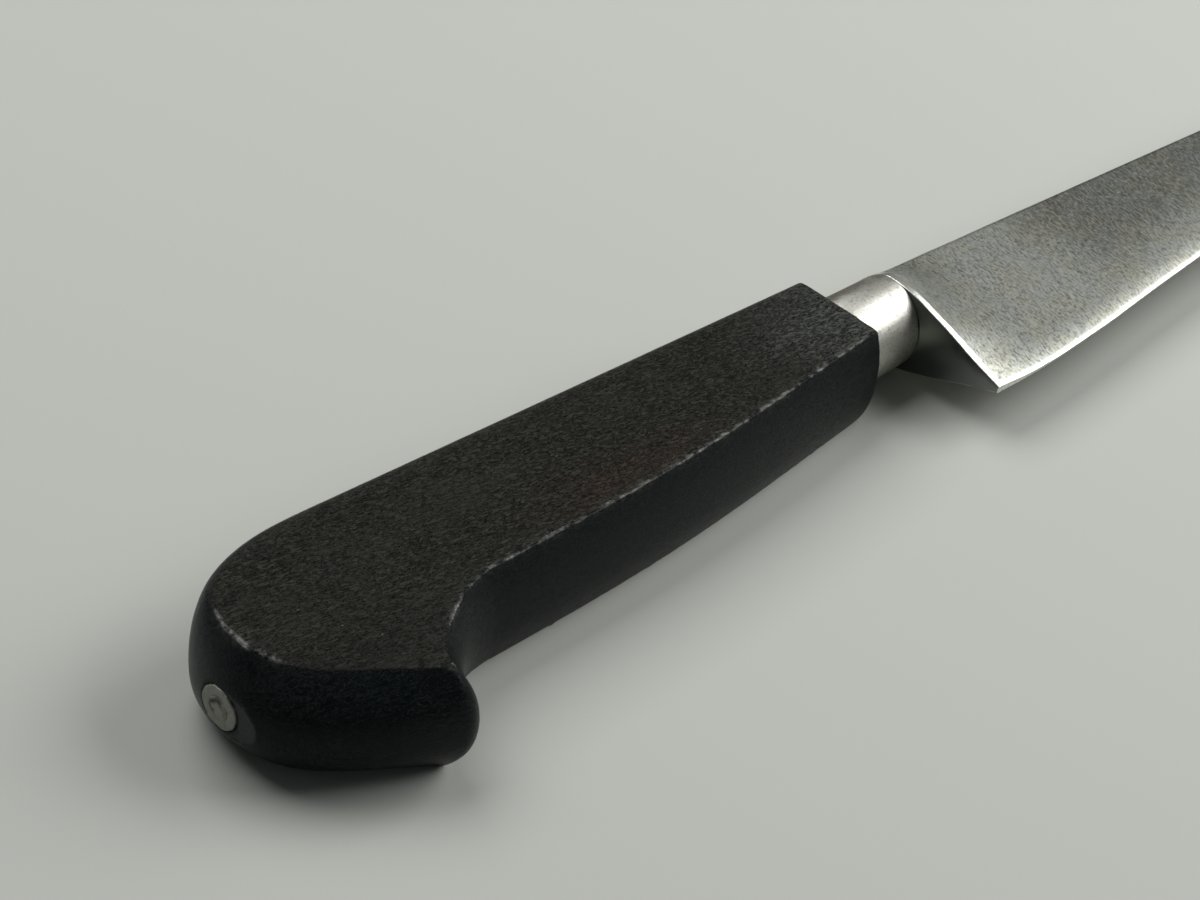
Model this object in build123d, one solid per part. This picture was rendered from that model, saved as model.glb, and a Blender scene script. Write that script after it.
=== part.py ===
from build123d import *
import os
from math import atan2, cos, hypot, pi, sin, sqrt

# A forged carving knife that lies on one flat side of its handle.
# X runs along the knife towards the blade's tip, Y from the edge towards the spine, Z is up.
# The origin is on the resting flat, half-way along it, under the line where the tang leaves the ferrule.
# All lengths are in millimetres.

# Handle: the flat sides, and how deep or high their outline lies from the tang's line
handle_flat_length = 114.0
handle_thickness = 16.3
spine_height = 8.7
spine_softness = 3.8
shoulder_depth = 8.6
shoulder_softening = 1.0
grip_depth = 15.9
grip_setback = 34.6
throat_depth = 20.4
throat_setback = 22.9
hook_depth = 27.2
hook_setback = 17.4
hook_tip_rounding = 0.7
butt_rounding = 26.0
butt_crown_drop = 9.2
butt_turn_depth = 16.9
butt_turn_setback = 3.3
butt_low_depth = 22.3
butt_low_setback = 10.4

# Handle: how far the edge faces swell past the flats at half thickness
butt_swell = 4.3
butt_low_swell = 5.4
hook_swell = 4.0
hook_tip_swell = 2.5
throat_swell = 2.2
belly_swell = 1.8

# Ferrule, deeper towards the handle, and the wooden tenon inside it
ferrule_length = 12.7
ferrule_height = 13.4
ferrule_thickness = 15.0
ferrule_drop = 0.3
ferrule_flare = 1.1
ferrule_wall = 1.0
ferrule_edge_rounding = 0.3
tenon_gap = 0.1
tenon_end_gap = 0.4

# Heel wedge of the forging
heel_depth = 22.7
heel_tip_thickness = 1.1
heel_flank_bulge = 0.4
heel_land = 1.1
cove_length = 20.0

# Blade
blade_length = 250.0
blade_spine_height = 7.2
blade_spine_fall = 9.0
blade_root_thickness = 4.6
blade_tip_thickness = 0.8
blade_tip_height = 0.8
cutting_edge_thickness = 0.24

# Tang and its bore
tang_root_width = 8.0
tang_root_thickness = 4.4
tang_end_diameter = 3.4
tang_end_drop = 9.5
bore_clearance = 0.15
rear_bore_length = 22.0

# Burr let into a filed facet on the butt, and the tang's end peened over it
burr_rim = 0.3
burr_thickness = 1.6
burr_stand = 0.2
burr_edge_break = 0.25
butt_facet_depth = 0.6
peened_head_spread = 0.3
peened_head_height = 0.2

# Reach of a cutter past the face that it cuts
overrun = 6.0

# Places that follow from the sizes above
x_butt = -handle_flat_length / 2
x_shoulder = handle_flat_length / 2 + shoulder_softening
x_back = x_shoulder + ferrule_length
x_land = x_back + heel_land
z_mid = handle_thickness / 2
ferrule_half_height = ferrule_height / 2
ferrule_half_thickness = ferrule_thickness / 2
x_burr_face = x_butt - butt_swell + butt_facet_depth - burr_stand
tang_run = x_back - x_burr_face
tang_line_length = hypot(tang_run, tang_end_drop)
tang_plane = Plane(
    origin=(x_back, 0, z_mid),
    x_dir=(0, 0, 1),
    z_dir=(-tang_run, -tang_end_drop, 0),
)

# Where the tang turns round, and where its bore narrows, measured back from the heel
tang_taper_length = tang_line_length - burr_thickness - 2 * tang_end_diameter
bore_step = tang_line_length - burr_thickness - rear_bore_length


def tang_diagonal(distance):
    """Corner-to-corner size of the tang at a distance behind the heel."""
    share = distance / tang_taper_length
    width = tang_root_width + share * (tang_end_diameter - tang_root_width)
    thickness = tang_root_thickness + share * (tang_end_diameter - tang_root_thickness)
    return hypot(width, thickness)


front_bore_diameter = tang_diagonal(0) + 2 * bore_clearance
rear_bore_diameter = tang_diagonal(bore_step) + 2 * bore_clearance
burr_diameter = rear_bore_diameter + 2 * burr_rim

# Levels of the handle's outlines, from the resting flat at -1 to the upper flat at 1
handle_level_shares = (-1, -0.92, -0.7, -0.35, 0, 0.35, 0.7, 0.92, 1)

# Powers that shape the swell of the edge faces and the soft rounding of the spine
swell_power = 2.2
spine_power = 3

# Powers of the rounded quarter turn between spine and butt: squarer at the flats than at half thickness
butt_flat_power = 3.05
butt_middle_power = 2.35

# Places of the belly's curve between grip and shoulder, as shares of that length and of that rise
belly_place_shares = ((0.42, 0.20), (0.80, 0.70))

# Directions in which the outline's curves start and end
to_butt = (-1, 0)
to_shoulder = (1, 0.02)
shoulder_climb = (1, 0.12)
out_of_hook = (0.3, 1)
hook_slope = -0.65
hook_slope_gain = 0.3


def swell_fullness(level):
    """Share of the full swell at a level of the handle."""
    return 1 - abs(level) ** swell_power


def spine_inset(level):
    """How far the softly rounded spine has drawn in at a level of the handle."""
    return spine_softness * (1 - (1 - abs(level) ** spine_power) ** (1 / spine_power))


def belly_points(fullness):
    """Points of the belly from the grip to past the shoulder, at one level."""
    x_grip = x_butt + grip_setback
    length = x_shoulder - x_grip
    rise = grip_depth - shoulder_depth
    swell = belly_swell * fullness
    points = [(x_grip, -grip_depth - swell)]
    for place, climb in belly_place_shares:
        points.append((x_grip + place * length, -grip_depth + climb * rise - swell))
    slope = (1 - belly_place_shares[-1][1]) / (1 - belly_place_shares[-1][0]) * rise / length
    points.append((x_shoulder + overrun, -shoulder_depth + overrun * slope - swell))
    return points


def butt_points(fullness, y_spine):
    """Points of the butt from the end of the straight spine round to its low side."""
    x_crown = x_butt - butt_swell * fullness
    y_crown = -butt_crown_drop
    x_spine_end = x_butt + butt_rounding
    power = butt_flat_power + fullness * (butt_middle_power - butt_flat_power)
    points = [(x_spine_end, y_spine)]
    for angle in (pi / 6, pi / 3):
        points.append((
            x_spine_end + (x_crown - x_spine_end) * sin(angle) ** (2 / power),
            y_crown + (y_spine - y_crown) * cos(angle) ** (2 / power),
        ))
    turn = (
        x_butt + butt_turn_setback - butt_low_swell * fullness * cos(pi / 6),
        -butt_turn_depth - butt_low_swell * fullness * sin(pi / 6),
    )
    low = (
        x_butt + butt_low_setback - butt_low_swell * fullness * cos(pi / 3),
        -butt_low_depth - butt_low_swell * fullness * sin(pi / 3),
    )
    return points + [(x_crown, y_crown), turn, low]


def hook_tip_points(fullness):
    """Lower, outermost and upper point of the hook's small rounded tip."""
    x_tip = x_butt + hook_setback
    lower = (
        x_tip - hook_tip_rounding,
        -hook_depth + hook_tip_rounding / 2 - hook_swell * fullness,
    )
    middle = (
        x_tip + hook_tip_swell * fullness * sin(pi / 4),
        -hook_depth - hook_swell * fullness * cos(pi / 6),
    )
    upper = (
        x_tip + hook_tip_rounding / 2 + hook_tip_swell * fullness,
        -hook_depth + hook_tip_rounding - hook_swell * fullness / 2,
    )
    return lower, middle, upper


def handle_outline(level):
    """Closed outline of the handle at one level, as a face."""
    fullness = swell_fullness(level)
    y_spine = spine_height - spine_inset(level)
    butt = butt_points(fullness, y_spine)
    tip_lower, tip_middle, tip_upper = hook_tip_points(fullness)
    throat = (
        x_butt + throat_setback + throat_swell * fullness * cos(pi / 4),
        -throat_depth - throat_swell * fullness * sin(pi / 4),
    )
    belly = belly_points(fullness)
    spine_start = (belly[-1][0], y_spine)
    into_hook = (1, hook_slope + hook_slope_gain * fullness)
    with BuildSketch(Plane.XY.offset(z_mid * (1 + level))) as sketch:
        with BuildLine():
            Line(spine_start, butt[0])
            Spline(*butt, tip_lower, tangents=(to_butt, into_hook))
            ThreePointArc(tip_lower, tip_middle, tip_upper)
            Spline(tip_upper, throat, belly[0], tangents=(out_of_hook, to_shoulder))
            Spline(*belly, tangents=(to_shoulder, shoulder_climb))
            Line(belly[-1], spine_start)
        make_face()
    return sketch.sketch


def make_handle_body():
    """Wooden body: flat sides, swelled edge faces, hooked butt, flats rounded over at the shoulder."""
    body = loft([handle_outline(level) for level in handle_level_shares])
    cutter = Pos(x_shoulder, 0, z_mid) * Box(
        2 * overrun, 2 * handle_flat_length, 2 * handle_thickness,
        align=(Align.MIN, Align.CENTER, Align.CENTER),
    )
    body = body - cutter
    shoulder = body.faces().sort_by(Axis.X)[-1]
    return fillet(shoulder.edges().filter_by(GeomType.LINE), shoulder_softening)


def oval_bar(inset, x_start, x_end):
    """Oval bar inside the ferrule's outer surface by an inset, from one place on X to another."""
    sections = []
    for x in (x_start, x_end):
        flare = ferrule_flare * (x_back - x) / ferrule_length
        centre = (x, -ferrule_drop - flare / 2, z_mid)
        plane = Plane(origin=centre, x_dir=(0, 1, 0), z_dir=(1, 0, 0))
        half_height = ferrule_half_height + flare / 2 - inset
        sections.append(plane * Ellipse(half_height, ferrule_half_thickness - inset))
    return loft(sections, ruled=True)


def along_tang(distance, radius, length):
    """Round bar along the tang's line, from a distance behind the heel towards the butt."""
    return extrude(tang_plane.offset(distance) * Circle(radius), length)


def make_bore():
    """Two-step bore for the tang, from inside the ferrule out to the burr's seat."""
    front = along_tang(0, front_bore_diameter / 2, bore_step)
    rear = along_tang(0, rear_bore_diameter / 2, tang_line_length - burr_thickness)
    return front + rear


def make_burr_seat():
    """Filed facet on the butt, and the recess that takes the burr."""
    facet = along_tang(tang_line_length - burr_stand, handle_thickness, overrun)
    recess = along_tang(tang_line_length - burr_thickness, burr_diameter / 2, overrun)
    return facet + recess


def make_handle():
    """Handle with its tenon, the tang's bore and the seat of the burr."""
    tenon = oval_bar(ferrule_wall + tenon_gap, x_shoulder - overrun, x_back - tenon_end_gap)
    return make_handle_body() + tenon - make_bore() - make_burr_seat()


def make_ferrule():
    """Oval sleeve between the handle's shoulder and the heel."""
    sleeve = oval_bar(0, x_shoulder, x_back)
    sleeve = fillet(sleeve.edges().filter_by(GeomType.LINE, reverse=True), ferrule_edge_rounding)
    return sleeve - oval_bar(ferrule_wall, x_shoulder - overrun, x_back + overrun)


# Stations of the cove, and of the blade past it: share of that length, and share of the edge's whole
# rise from the heel to the tip
cove_station_shares = (
    (0.0, 0.0),
    (0.1, -0.003),
    (0.25, -0.006),
    (0.45, -0.003),
    (0.7, 0.010),
    (1.0, 0.036),
)
blade_station_shares = (
    (0.03, 0.067),
    (0.08, 0.136),
    (0.16, 0.238),
    (0.32, 0.395),
    (0.475, 0.527),
    (0.63, 0.647),
    (0.77, 0.762),
    (0.89, 0.876),
    (0.965, 0.957),
    (1.0, 1.0),
)

# Power by which the swell of the cove dies away
cove_power = 2.6

# Height of the rounded bevel over the cutting edge, and its thickness, as shares of the local blade,
# the power of its curve, and the places on it as shares of its height
bevel_height_share = 0.17
bevel_thickness_share = 0.42
bevel_power = 2.5
bevel_place_shares = (1.0, 0.65, 0.35, 0.13, 0.0)

# Depth, below the spine, of the side's crease where the heel wedge is widest, as a share of the blade
flank_depth_share = 0.3

# Straight part of the spine's fall to the tip, as a share of the whole fall, and the power of the rest
spine_straight_share = 0.34
spine_fall_power = 6

# Places on the wedge's oval flank, as shares of the turn from the spine to the flank's widest tangent
flank_shares = (0.0, 0.33, 0.66, 1.0)


def spine_y(place):
    """Height of the spine at a share of the blade's length."""
    fall = spine_straight_share * place + (1 - spine_straight_share) * place**spine_fall_power
    return blade_spine_height - blade_spine_fall * fall


def spine_half(place):
    """Half thickness of the spine at a share of the blade's length."""
    return (blade_root_thickness + (blade_tip_thickness - blade_root_thickness) * place) / 2


def flank_tangent():
    """Turn, on the ferrule's oval, of the point whose tangent runs to the heel's tip."""
    along = -(heel_depth - ferrule_drop) / ferrule_half_height
    across = heel_tip_thickness / 2 / ferrule_half_thickness
    return atan2(across, along) - pi / 2 + atan2(1, sqrt(along**2 + across**2 - 1))


def blade_section(distance, rise_share, wedge):
    """Face square to X: plain blade where wedge is 0, the full heel wedge where it is 1."""
    place = distance / (blade_length - heel_land)
    top = spine_y(place)
    bottom = -heel_depth + rise_share * (heel_depth + spine_y(1) - blade_tip_height)
    half = spine_half(place)
    edge_half = cutting_edge_thickness / 2
    y_bevel = bottom + bevel_height_share * (top - bottom)
    plain_bevel_half = bevel_thickness_share * half
    slope = (half - plain_bevel_half) / (top - y_bevel)
    fullness = (1 - wedge) * max(0, plain_bevel_half - edge_half - slope * (y_bevel - bottom))
    last_turn = flank_tangent()
    first_turn = pi / 2 - atan2(sqrt(ferrule_half_thickness**2 - half**2), half)
    flank = []
    for share in flank_shares:
        turn = first_turn + share * (last_turn - first_turn)
        y_oval = ferrule_half_height * cos(turn) - ferrule_drop
        if share == 0:
            y_oval = top
        y_blade = top - share * flank_depth_share * (top - bottom)
        y = y_blade + wedge * (y_oval - y_blade)
        plain = half - slope * (top - y)
        swelled = max(half, ferrule_half_thickness * sin(turn))
        flank.append((y, plain + wedge * (swelled - plain)))
    y_wide, wide_half = flank[-1]
    wedge_tip_half = heel_tip_thickness / 2
    y_span = (y_bevel - bottom) / (y_wide - bottom)
    wedge_bevel_half = wedge_tip_half + (ferrule_half_thickness * sin(last_turn) - wedge_tip_half) * y_span
    bevel_half = plain_bevel_half + wedge * (wedge_bevel_half - plain_bevel_half)
    edge_half += wedge * (wedge_tip_half - edge_half)
    y_flank = (y_wide + y_bevel) / 2
    flank.append((y_flank, (wide_half + bevel_half) / 2 + wedge * heel_flank_bulge))
    flank.append((y_bevel, bevel_half))
    bevel = []
    for share in bevel_place_shares:
        swell = fullness * (1 - share - (1 - share) ** bevel_power)
        bevel.append((
            bottom + share * (y_bevel - bottom),
            edge_half + share * (bevel_half - edge_half) + swell,
        ))
    plane = Plane(origin=(x_land + distance, 0, z_mid), x_dir=(0, 1, 0), z_dir=(1, 0, 0))
    with BuildSketch(plane) as sketch:
        with BuildLine():
            for side in (1, -1):
                Spline(*[(y, side * z) for y, z in flank])
                Spline(*[(y, side * z) for y, z in bevel])
            Line((top, half), (top, -half))
            Line((bottom, edge_half), (bottom, -edge_half))
        make_face()
    return sketch.sketch


def make_blade_and_heel():
    """Blade, the cove that swells towards the heel, and the narrow land at its back."""
    stations = [(share * cove_length, rise, (1 - share) ** cove_power) for share, rise in cove_station_shares]
    past_cove = blade_length - heel_land - cove_length
    stations += [(cove_length + share * past_cove, rise, 0) for share, rise in blade_station_shares]
    sections = [blade_section(*station) for station in stations]
    cove_end = len(cove_station_shares)
    land = extrude(sections[0], -heel_land)
    return land + loft(sections[:cove_end]) + loft(sections[cove_end - 1:])


def make_tang():
    """Rat-tail tang that tapers to a round end, peened over the burr."""
    root_plane = tang_plane.offset(-heel_land)
    end_plane = tang_plane.offset(tang_taper_length)
    taper = loft([
        root_plane * Rectangle(tang_root_thickness, tang_root_width),
        end_plane * Rectangle(tang_end_diameter, tang_end_diameter),
    ])
    tail_start = tang_taper_length - tang_end_diameter
    tail = along_tang(tail_start, tang_end_diameter / 2, tang_line_length - tail_start)
    head_plane = tang_plane.offset(tang_line_length)
    head = loft([
        head_plane * Circle(tang_end_diameter / 2 + peened_head_spread),
        head_plane.offset(peened_head_height) * Circle(tang_end_diameter / 2),
    ])
    return taper + tail + head


def make_blade():
    """The whole forging: blade, heel and tang."""
    return make_blade_and_heel() + make_tang()


def make_butt_burr():
    """Washer let into the butt."""
    start = tang_line_length - burr_thickness
    disc = along_tang(start, burr_diameter / 2, burr_thickness)
    disc = chamfer(disc.edges().sort_by(Axis.X)[0], burr_edge_break)
    return disc - along_tang(start - overrun, tang_end_diameter / 2, burr_thickness + 2 * overrun)


def make_tang_cement(blade):
    """Cement that fills the bore round the tang."""
    past_tenon = Pos(x_back - tenon_end_gap, 0, z_mid) * Box(
        ferrule_length, 2 * ferrule_height, 2 * ferrule_thickness,
        align=(Align.MIN, Align.CENTER, Align.CENTER),
    )
    return make_bore() - past_tenon - blade


blade = make_blade()
nodes = {
    "blade": blade,
    "ferrule": make_ferrule(),
    "handle": make_handle(),
    "butt_burr": make_butt_burr(),
    "tang_cement": make_tang_cement(blade),
}

os.makedirs("parts", exist_ok=True)
for name, shape in nodes.items():
    shape.label = name
    export_step(shape, f"parts/{name}.step")
    box = shape.bounding_box()
    print(name, "volume", round(shape.volume), "box", [round(v, 1) for v in (*box.min, *box.max)])
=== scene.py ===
import math

import bmesh
import bpy
import numpy as np
from bpy.props import FloatProperty, FloatVectorProperty, IntProperty, PointerProperty
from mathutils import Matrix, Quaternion, Vector


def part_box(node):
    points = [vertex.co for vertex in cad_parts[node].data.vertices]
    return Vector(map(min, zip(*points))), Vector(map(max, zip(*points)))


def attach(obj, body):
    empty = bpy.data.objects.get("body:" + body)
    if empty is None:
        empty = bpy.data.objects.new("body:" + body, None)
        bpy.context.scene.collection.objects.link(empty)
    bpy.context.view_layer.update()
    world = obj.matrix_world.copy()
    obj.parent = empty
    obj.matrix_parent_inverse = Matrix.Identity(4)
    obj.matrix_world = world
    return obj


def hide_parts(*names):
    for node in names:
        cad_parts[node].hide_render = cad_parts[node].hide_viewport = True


bl_info = {
    "name": "Carving knife dressing",
    "version": (1, 0, 0),
    "blender": (4, 5, 0),
    "location": "View3D > Sidebar > Knife",
    "description": "Builds the visible surfaces of a forged carving knife with a hooked wooden handle",
    "category": "Object",
}

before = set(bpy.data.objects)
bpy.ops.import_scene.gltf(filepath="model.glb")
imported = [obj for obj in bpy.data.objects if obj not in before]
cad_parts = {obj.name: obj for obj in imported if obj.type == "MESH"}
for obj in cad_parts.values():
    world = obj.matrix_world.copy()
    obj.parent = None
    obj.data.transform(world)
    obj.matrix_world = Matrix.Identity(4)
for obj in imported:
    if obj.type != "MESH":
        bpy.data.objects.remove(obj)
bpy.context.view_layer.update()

BODY = "root"
MILLIMETRE = 0.001
PER_METRE = 1000.0


def Length(description, millimetres):
    """A length, given in millimetres and shown in the scene's own unit."""
    return FloatProperty(
        description=description, default=millimetres * MILLIMETRE, min=0.0, subtype="DISTANCE",
        unit="LENGTH", precision=5,
    )


def Colour(description, default):
    """A linear colour, without its alpha."""
    return FloatVectorProperty(
        description="Colour " + description, default=default, subtype="COLOR", size=3, min=0.0, max=1.0,
    )


def Power(description, watts):
    """The power of a lamp, from where it hangs."""
    return FloatProperty(description="Power of the lamp " + description, default=watts, min=0.0, unit="POWER")


def Angle(description, degrees):
    """An angle, given in degrees."""
    return FloatProperty(description=description, default=math.radians(degrees), subtype="ANGLE")


def Rounds(description, default):
    """A number of rounds of smoothing."""
    return IntProperty(description=description, default=default, min=0)


def with_names(group):
    """Gives each setting of a group its name in the panel, in plain words."""
    for name, setting in group.__annotations__.items():
        setting.keywords["name"] = name.replace("_", " ").capitalize()
    return group


@with_names
class HandleSettings(bpy.types.PropertyGroup):
    """Sizes and colours of the wooden handle."""
    mesh_size: Length("Width of one face of the handle's mesh", 0.35)
    edge_rounds: Rounds("Rounds of smoothing that soften the worn edges", 2)
    nick_depth: Length("Depth of the nicks along the edges", 0.22)
    nick_length: Length("Length of the nicks along the edges", 1.6)
    grain_turn: Angle("Angle from the grain to the handle's length", 10.0)
    shoulder_reach: Length("How far the rounded shoulder reaches", 3.0)
    shoulder_rounds: Rounds("Rounds of smoothing of the shoulder's corner", 24)
    dark_wood: Colour("of the oiled wood", (0.0100, 0.0098, 0.0074))
    grey_wood: Colour("of the raised, dried fibres", (0.0330, 0.0320, 0.0245))
    smooth_wood: Colour("where the grain is rubbed smooth", (0.0240, 0.0240, 0.0190))
    # Painted shade in the grain's creases
    crease: Colour("of the grain's creases", (0.0015, 0.0015, 0.0011))
    worn_wood: Colour("where the palm has rubbed the finish away", (0.040, 0.0265, 0.0165))
    dry_wood: Colour("of the dried wood next to the shoulder", (0.085, 0.091, 0.080))
    # Darker colour of the edge faces: partly the smooth wood, partly painted shade on faces that turn
    # sideways
    side_wood: Colour("of the smooth edge faces", (0.0016, 0.0040, 0.0044))
    # Bare filed wood with a painted reflection; also used for a painted reflection on the butt's end faces
    facet_wood: Colour("of the bare facet round the burr", (0.030, 0.0385, 0.0375))
    # Wear on the edges, with a painted highlight drawn in the same colour
    bare_edge: Colour("of the rubbed edges", (0.34, 0.34, 0.315))


@with_names
class FerruleSettings(bpy.types.PropertyGroup):
    """Sizes and colours of the ferrule."""
    wall: Length("Wall of the ferrule", 1.0)
    flare: Length("How much deeper the ferrule is at the handle", 1.1)
    rim_rounding: Length("Rounding of the ferrule's rims", 0.3)
    dent_depth: Length("Depth of the soft dents", 0.07)
    dent_width: Length("Width of the soft dents", 4.0)
    metal: Colour("of the nickel silver", (0.64, 0.63, 0.57))
    tarnish: Colour("of the tarnished patches", (0.160, 0.128, 0.098))


@with_names
class BladeSettings(bpy.types.PropertyGroup):
    """Sizes and colours of the forged blade and its heel."""
    heel_depth: Length("How far the heel's tip lies below the tang", 22.7)
    heel_tip_thickness: Length("Thickness of the heel at its tip", 1.1)
    heel_bulge: Length("Swell of the heel's flank half-way down", 0.4)
    heel_land: Length("Width of the narrow land on the heel's crest", 1.1)
    cove_length: Length("Length of the hollow from heel to plain blade", 20.0)
    spine_height: Length("Height of the spine over the tang", 7.2)
    spine_fall: Length("How far the spine falls to the tip", 9.0)
    root_thickness: Length("Thickness of the spine at the heel", 4.6)
    tip_thickness: Length("Thickness of the spine at the tip", 0.8)
    tip_height: Length("Height of the blade at its tip", 0.8)
    edge_thickness: Length("Thickness of the cutting edge", 0.24)
    corner_rounding: Length("Rounding of the spine's corners", 0.3)
    crest_rounding: Length("Rounding of the heel's crest", 0.14)
    wave_depth: Length("Depth of the waves that forging left", 0.05)
    wave_width: Length("Width of the waves that forging left", 7.0)
    mark_turn: Angle("Angle from the blade's fine marks to its height", 9.0)
    rubbed_steel: Colour("of freshly rubbed steel", (0.82, 0.82, 0.77))
    bright_steel: Colour("of the steel's bare grey", (0.54, 0.545, 0.50))
    grey_steel: Colour("of the steel's darker bloom", (0.29, 0.30, 0.27))
    patina: Colour("of the dark patina and of the pits", (0.090, 0.091, 0.078))
    back_steel: Colour("of the heel's unpolished back", (0.25, 0.265, 0.25))
    cool_tint: Colour("that multiplies the steel where it looks cool", (0.97, 0.99, 1.0))
    warm_tint: Colour("that multiplies the steel where it looks warm", (1.0, 0.985, 0.925))


@with_names
class BurrSettings(bpy.types.PropertyGroup):
    """Sizes and colours of the burr and of the tang's peened end."""
    thickness: Length("Thickness of the burr", 1.6)
    rim_rounding: Length("Rounding of the burr's rim", 0.25)
    root_width: Length("Width of the tang at the heel", 8.0)
    root_thickness: Length("Thickness of the tang at the heel", 4.4)
    mesh_size: Length("Width of one face of the peened metal's mesh", 0.09)
    tang_radius: Length("Radius of the tang's round end", 1.7)
    head_height: Length("Height of the peened head over the burr", 0.2)
    hammer_depth: Length("Depth of the hammer marks", 0.16)
    hammer_width: Length("Width of the hammer marks", 0.8)
    seam_radius: Length("Reach of the seam round the tang's end", 1.2)
    seam_width: Length("Width of that seam", 0.34)
    steel: Colour("of the hammered steel", (0.29, 0.285, 0.255))
    # Dirt in the seams, with painted shade in the dents and down the sides
    grime: Colour("of the dirt in its seams", (0.030, 0.030, 0.025))
    dark_cement: Colour("of the cement's darker grains", (0.20, 0.12, 0.07))
    pale_cement: Colour("of the cement's paler grains", (0.40, 0.28, 0.18))


@with_names
class StageSettings(bpy.types.PropertyGroup):
    """Floor, lamps and camera."""
    floor_size: Length("Side of the square floor", 6000.0)
    floor_colour: Colour("of the plain floor", (0.52, 0.53, 0.49))
    world_colour: Colour("of the soft light all round", (0.90, 0.97, 1.0))
    world_strength: FloatProperty(description="Strength of the light all round", default=0.08, min=0.0)
    key_lamp: Power("beyond the blade", 6.6)
    side_lamp: Power("behind the blade", 0.15)
    top_lamp: Power("overhead", 4.9)
    camera_place: FloatVectorProperty(
        description="Where the camera stands", default=(-0.19344, -0.18742, 0.21611),
        subtype="TRANSLATION", unit="LENGTH",
    )
    camera_target: FloatVectorProperty(
        description="Point on the floor in the middle of the picture", default=(0.02012, 0.00858, 0.0),
        subtype="TRANSLATION", unit="LENGTH",
    )
    camera_roll: Angle("Turn of the camera about its own view", 7.24)
    lens: FloatProperty(
        description="Focal length for a sensor 36 mm wide", default=75.0, subtype="DISTANCE_CAMERA",
    )


class Value:
    """A number, place or colour that a new shader node works out, for use in plain sums."""

    def __init__(self, tree, kind, output, inputs, **settings):
        self.tree = tree
        node = tree.nodes.new("ShaderNode" + kind)
        for name, value in settings.items():
            setattr(node, name, value)
        for name, value in inputs.items():
            fill(node.inputs[name], value)
        self.socket = node.outputs[output]

    def reckon(self, operation, first, second=0.0):
        """One sum on two values or numbers."""
        return Value(self.tree, "Math", "Value", {0: first, 1: second}, operation=operation)

    def __add__(self, other):
        return self.reckon("ADD", self, other)

    def __mul__(self, other):
        return self.reckon("MULTIPLY", self, other)

    def __sub__(self, other):
        return self.reckon("SUBTRACT", self, other)

    def __rsub__(self, other):
        return self.reckon("SUBTRACT", other, self)

    def larger(self, other):
        """The larger of the two values."""
        return self.reckon("MAXIMUM", self, other)

    def step(self, low, high):
        """A smooth step that is 0 at the first number and 1 at the second."""
        inputs = {"Value": self, "From Min": low, "From Max": high}
        return Value(self.tree, "MapRange", "Result", inputs, interpolation_type="SMOOTHSTEP")

    def between(self, first, second):
        """Goes from one value to another as this one goes from 0 to 1."""
        return Value(self.tree, "MapRange", "Result", {"Value": self, "To Min": first, "To Max": second})

    def thin_lines(self, width):
        """Thin wandering lines where a cloud pattern crosses its middle."""
        return self.reckon("ABSOLUTE", self - 0.5).step(width, 0.0)


def fill(socket, value):
    """Links a socket to a value, or gives it a number or a colour."""
    if isinstance(value, Value):
        value.tree.links.new(value.socket, socket)
    else:
        socket.default_value = value


class Finish:
    """A new node material, with the patterns and blends that its colour is made of."""

    # How far clouds move a zone's rim, where the rim starts and ends, and how strong the zone is, as shares
    raggedness = 0.8
    zone_rim = (1.5, 0.4)
    zone_strength = 0.85

    def __init__(self, name):
        self.material = bpy.data.materials.new(name)
        self.material.use_nodes = True
        self.tree = self.material.node_tree
        self.shader = self.tree.nodes["Principled BSDF"]

    def place(self, stretch=(1.0, 1.0, 1.0), shift=(0.0, 0.0, 0.0), turn=0.0):
        """Place on the piece in millimetres, stretched, shifted and turned as seen from above."""
        place = Value(self.tree, "TexCoord", "Object", {})
        if turn:
            inputs = {"Vector": place, "Angle": turn}
            place = Value(self.tree, "VectorRotate", "Vector", inputs, rotation_type="Z_AXIS")
        scale = [PER_METRE / factor for factor in stretch]
        return Value(self.tree, "Mapping", "Vector", {"Vector": place, "Scale": scale, "Location": shift})

    def cloud(self, scale, detail=3.0, roughness=0.5, distortion=0.0, **place):
        """Soft noise from 0 to 1."""
        inputs = {"Vector": self.place(**place), "Scale": scale, "Detail": detail}
        inputs.update({"Roughness": roughness, "Distortion": distortion})
        return Value(self.tree, "TexNoise", "Fac", inputs)

    def attribute(self, name):
        """A value that the mesh itself carries."""
        return Value(self.tree, "Attribute", "Fac", {}, attribute_name=name)

    def oval_zone(self, zone, clouds):
        """Share of a ragged oval zone seen from above, from its middle and its reach in millimetres."""
        middle, reach = zone
        shift = [-where / wide for where, wide in zip(middle, reach)]
        place = self.place((*reach, ENDLESS), (*shift, 0.0))
        away = Value(self.tree, "VectorMath", "Value", {0: place}, operation="LENGTH")
        return (away + clouds * self.raggedness).step(*self.zone_rim) * self.zone_strength

    def blend(self, share, *colours, mode="MIX"):
        """Mixes two colours."""
        filled = [colour if isinstance(colour, Value) else (*colour, 1.0) for colour in colours]
        inputs = dict(zip((0, 6, 7), (share, *filled)))
        return Value(self.tree, "Mix", 2, inputs, data_type="RGBA", blend_type=mode)

    def bump(self, height, depth, below=None):
        """Relief of a depth in millimetres, on top of a coarser one."""
        inputs = {"Height": height, "Distance": depth * MILLIMETRE}
        if below:
            inputs["Normal"] = below
        return Value(self.tree, "Bump", "Normal", inputs)

    def apply(self, **values):
        """Links what was worked out to the shader."""
        for name, value in values.items():
            fill(self.shader.inputs[name.replace("_", " ").title()], value)
        return self.material


# Zones of the wood seen from above, in millimetres: middle and reach
HOOK_ZONE = ((-45.0, -20.0), (17.0, 9.0))
RUBBED_ZONE = ((4.0, -12.5), (21.0, 6.0))
DRY_ZONE = ((59.0, -4.0), (24.0, 18.0))
# Painted reflection on the rounded end faces of the butt
BUTT_REFLECTION_ZONE = ((-62.0, -3.0), (6.0, 12.0))

# Stretch that leaves a pattern the same all along an axis
ENDLESS = 1.0e9


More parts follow.
